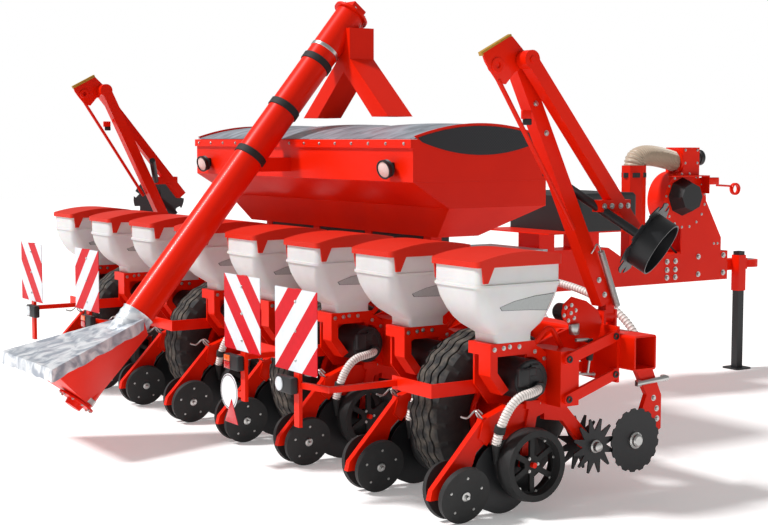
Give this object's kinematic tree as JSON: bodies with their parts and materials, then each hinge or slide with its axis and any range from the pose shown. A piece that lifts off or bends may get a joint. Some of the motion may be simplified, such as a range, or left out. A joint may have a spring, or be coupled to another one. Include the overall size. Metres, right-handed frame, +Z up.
{
  "type": "precision planter",
  "caption": "Trailed precision planter: row units with seed hoppers behind a toolbar, a fertiliser hopper with a filling auger, fold-up row markers, and a drawbar with an air blower.",
  "frame": {"origin": "on the ground, at the middle of the machine's length and width", "axes": "+Y towards the tractor, +X to the machine's right, +Z up"},
  "size_m": [6.1582, 6.205, 2.7849],
  "materials": {
    "red_paint": "gloss",
    "red_plastic": "gloss",
    "black_paint": "satin",
    "black_plastic": "matte",
    "white_plastic": "satin",
    "white_hose": "satin",
    "beige_hose": "satin",
    "tyre": "matte",
    "rubber": "matte",
    "galvanised_steel": "satin",
    "disc_steel": "satin",
    "tarpaulin": "matte",
    "board": "satin",
    "lamp": "gloss"
  },
  "bodies": {
    "frame": {"toolbar": "red_paint", "drawbar": "red_paint", "hitch": "red_paint", "walkway": "galvanised_steel", "wheel_arms": "red_paint", "fertiliser_hopper": "red_paint", "hopper_stand": "red_paint", "fertiliser_meters": "black_plastic", "tarpaulins": "tarpaulin", "auger_tube": "red_paint", "auger_boot": "red_paint", "auger_head": "red_paint", "blower": "red_paint", "blower_cover": "black_plastic", "blower_hose": "beige_hose", "equipment_box": "black_plastic", "row_mounts": "red_paint", "row_links": "red_paint", "row_frames": "red_paint", "closing_wheels": "rubber", "seed_meters": "black_plastic", "seed_hoses": "white_hose", "seed_hoppers": "white_plastic", "coulter_discs": "disc_steel", "coulter_arms": "red_paint", "fertiliser_hoses": "white_hose", "warning_boards": "board", "board_posts": "red_paint", "lamps": "lamp"},
    "jack": {"jack_leg": "black_paint"},
    "wheel_1": {"tyre_1": "tyre", "rim_1": "red_paint"},
    "wheel_2": {"tyre_2": "tyre", "rim_2": "red_paint"},
    "wheel_3": {"tyre_3": "tyre", "rim_3": "red_paint"},
    "wheel_4": {"tyre_4": "tyre", "rim_4": "red_paint"},
    "gauge_1": {"gauge_wheels_1": "rubber"},
    "hopper_lid_1": {"lid_1": "red_plastic"},
    "gauge_2": {"gauge_wheels_2": "rubber"},
    "hopper_lid_2": {"lid_2": "red_plastic"},
    "gauge_3": {"gauge_wheels_3": "rubber"},
    "hopper_lid_3": {"lid_3": "red_plastic"},
    "gauge_4": {"gauge_wheels_4": "rubber"},
    "hopper_lid_4": {"lid_4": "red_plastic"},
    "gauge_5": {"gauge_wheels_5": "rubber"},
    "hopper_lid_5": {"lid_5": "red_plastic"},
    "gauge_6": {"gauge_wheels_6": "rubber"},
    "hopper_lid_6": {"lid_6": "red_plastic"},
    "gauge_7": {"gauge_wheels_7": "rubber"},
    "hopper_lid_7": {"lid_7": "red_plastic"},
    "gauge_8": {"gauge_wheels_8": "rubber"},
    "hopper_lid_8": {"lid_8": "red_plastic"},
    "marker_right": {"marker_arm_right": "red_paint"},
    "boom_right": {"marker_boom_right": "red_paint"},
    "mark_right": {"marker_disc_right": "black_paint"},
    "marker_left": {"marker_arm_left": "red_paint"},
    "boom_left": {"marker_boom_left": "red_paint"},
    "mark_left": {"marker_disc_left": "black_paint"}
  },
  "joints": [
    {"name": "wheel_1_spin", "type": "hinge", "parent": "frame", "child": "wheel_1", "pos_m": [2.25, -1.3975, 0.445], "axis": [1, 0, 0], "continuous": true},
    {"name": "wheel_2_spin", "type": "hinge", "parent": "frame", "child": "wheel_2", "pos_m": [0.75, -1.3975, 0.445], "axis": [1, 0, 0], "continuous": true},
    {"name": "wheel_3_spin", "type": "hinge", "parent": "frame", "child": "wheel_3", "pos_m": [-0.75, -1.3975, 0.445], "axis": [1, 0, 0], "continuous": true},
    {"name": "wheel_4_spin", "type": "hinge", "parent": "frame", "child": "wheel_4", "pos_m": [-2.25, -1.3975, 0.445], "axis": [1, 0, 0], "continuous": true},
    {"name": "gauge_1_spin", "type": "hinge", "parent": "frame", "child": "gauge_1", "pos_m": [2.625, -1.4945, 0.252], "axis": [1, 0, 0], "continuous": true},
    {"name": "lid_1_hinge", "type": "hinge", "parent": "frame", "child": "hopper_lid_1", "pos_m": [2.555, -1.2985, 1.262], "axis": [-1, 0, 0], "range_deg": [0, 70]},
    {"name": "gauge_2_spin", "type": "hinge", "parent": "frame", "child": "gauge_2", "pos_m": [1.875, -1.4945, 0.252], "axis": [1, 0, 0], "continuous": true},
    {"name": "lid_2_hinge", "type": "hinge", "parent": "frame", "child": "hopper_lid_2", "pos_m": [1.805, -1.2985, 1.262], "axis": [-1, 0, 0], "range_deg": [0, 70]},
    {"name": "gauge_3_spin", "type": "hinge", "parent": "frame", "child": "gauge_3", "pos_m": [1.125, -1.4945, 0.252], "axis": [1, 0, 0], "continuous": true},
    {"name": "lid_3_hinge", "type": "hinge", "parent": "frame", "child": "hopper_lid_3", "pos_m": [1.055, -1.2985, 1.262], "axis": [-1, 0, 0], "range_deg": [0, 70]},
    {"name": "gauge_4_spin", "type": "hinge", "parent": "frame", "child": "gauge_4", "pos_m": [0.375, -1.4945, 0.252], "axis": [1, 0, 0], "continuous": true},
    {"name": "lid_4_hinge", "type": "hinge", "parent": "frame", "child": "hopper_lid_4", "pos_m": [0.305, -1.2985, 1.262], "axis": [-1, 0, 0], "range_deg": [0, 70]},
    {"name": "gauge_5_spin", "type": "hinge", "parent": "frame", "child": "gauge_5", "pos_m": [-0.375, -1.4945, 0.252], "axis": [1, 0, 0], "continuous": true},
    {"name": "lid_5_hinge", "type": "hinge", "parent": "frame", "child": "hopper_lid_5", "pos_m": [-0.445, -1.2985, 1.262], "axis": [-1, 0, 0], "range_deg": [0, 70]},
    {"name": "gauge_6_spin", "type": "hinge", "parent": "frame", "child": "gauge_6", "pos_m": [-1.125, -1.4945, 0.252], "axis": [1, 0, 0], "continuous": true},
    {"name": "lid_6_hinge", "type": "hinge", "parent": "frame", "child": "hopper_lid_6", "pos_m": [-1.195, -1.2985, 1.262], "axis": [-1, 0, 0], "range_deg": [0, 70]},
    {"name": "gauge_7_spin", "type": "hinge", "parent": "frame", "child": "gauge_7", "pos_m": [-1.875, -1.4945, 0.252], "axis": [1, 0, 0], "continuous": true},
    {"name": "lid_7_hinge", "type": "hinge", "parent": "frame", "child": "hopper_lid_7", "pos_m": [-1.945, -1.2985, 1.262], "axis": [-1, 0, 0], "range_deg": [0, 70]},
    {"name": "gauge_8_spin", "type": "hinge", "parent": "frame", "child": "gauge_8", "pos_m": [-2.625, -1.4945, 0.252], "axis": [1, 0, 0], "continuous": true},
    {"name": "lid_8_hinge", "type": "hinge", "parent": "frame", "child": "hopper_lid_8", "pos_m": [-2.695, -1.2985, 1.262], "axis": [-1, 0, 0], "range_deg": [0, 70]},
    {"name": "jack_slide", "type": "slide", "parent": "frame", "child": "jack", "axis": [0, 0, 1], "range_m": [0, 0.45]},
    {"name": "marker_right_fold", "type": "hinge", "parent": "frame", "child": "marker_right", "pos_m": [2.6, -0.8975, 0.945], "axis": [0, 1, 0], "range_deg": [0, 78]},
    {"name": "boom_right_swing", "type": "hinge", "parent": "marker_right", "child": "boom_right", "pos_m": [2.701, -1.5175, 2.25], "axis": [1, 0, 0], "range_deg": [0, 160]},
    {"name": "mark_right_spin", "type": "hinge", "parent": "boom_right", "child": "mark_right", "pos_m": [2.9, -0.9275, 1.37], "axis": [0.7401, 0.4201, -0.5251], "continuous": true},
    {"name": "marker_left_fold", "type": "hinge", "parent": "frame", "child": "marker_left", "pos_m": [-2.6, -0.8975, 0.945], "axis": [0, -1, 0], "range_deg": [0, 78]},
    {"name": "boom_left_swing", "type": "hinge", "parent": "marker_left", "child": "boom_left", "pos_m": [-2.701, -1.5175, 2.25], "axis": [1, 0, 0], "range_deg": [0, 160]},
    {"name": "mark_left_spin", "type": "hinge", "parent": "boom_left", "child": "mark_left", "pos_m": [-2.9, -0.9275, 1.37], "axis": [-0.7401, 0.4201, -0.5251], "continuous": true}
  ]
}
